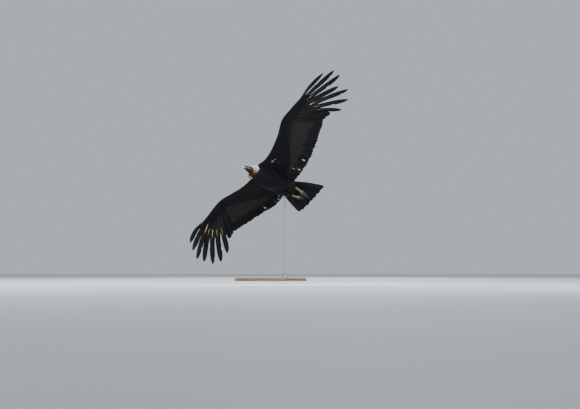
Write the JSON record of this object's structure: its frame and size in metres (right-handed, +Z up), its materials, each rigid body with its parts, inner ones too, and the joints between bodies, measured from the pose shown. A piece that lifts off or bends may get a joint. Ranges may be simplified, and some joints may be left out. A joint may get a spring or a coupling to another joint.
{
  "type": "andean condor",
  "caption": "Life-size soaring Andean condor with spread wings, white neck ruff and a comb, banked on a rod above a flat base.",
  "frame": {"origin": "middle of the underside of the stand's base", "axes": "+Z up; X along the base's long side and Y along its short side. The bird flies towards -X and -Y, nose slightly up and banked to its right."},
  "size_m": [1.9148, 1.1999, 2.3784],
  "materials": {
    "plumage": "soft black feathers",
    "white_down": "soft white down",
    "neck_skin": "bare wrinkled skin",
    "head_skin": "bare wrinkled skin",
    "comb_skin": "fleshy skin",
    "horn": "smooth horn",
    "eye": "wet and glossy",
    "foot_scales": "fine scales",
    "claw_horn": "smooth horn",
    "base_wood": "satin oiled oak",
    "stand_steel": "brushed"
  },
  "bodies": {
    "root": {"torso": "plumage", "tail": "plumage", "wing_left": "plumage", "wing_right": "plumage", "neck": "neck_skin", "ruff": "white_down", "head": "head_skin", "comb": "comb_skin", "beak_upper": "horn", "beak_lower": "horn", "eye_left": "eye", "eye_right": "eye", "thigh_left": "plumage", "shank_left": "foot_scales", "foot_left": "foot_scales", "claw_left_inner": "claw_horn", "claw_left_middle": "claw_horn", "claw_left_outer": "claw_horn", "claw_left_hind": "claw_horn", "thigh_right": "plumage", "shank_right": "foot_scales", "foot_right": "foot_scales", "claw_right_inner": "claw_horn", "claw_right_middle": "claw_horn", "claw_right_outer": "claw_horn", "claw_right_hind": "claw_horn", "stand_base": "base_wood", "stand_collar": "stand_steel", "stand_rod": "stand_steel"}
  },
  "joints": []
}
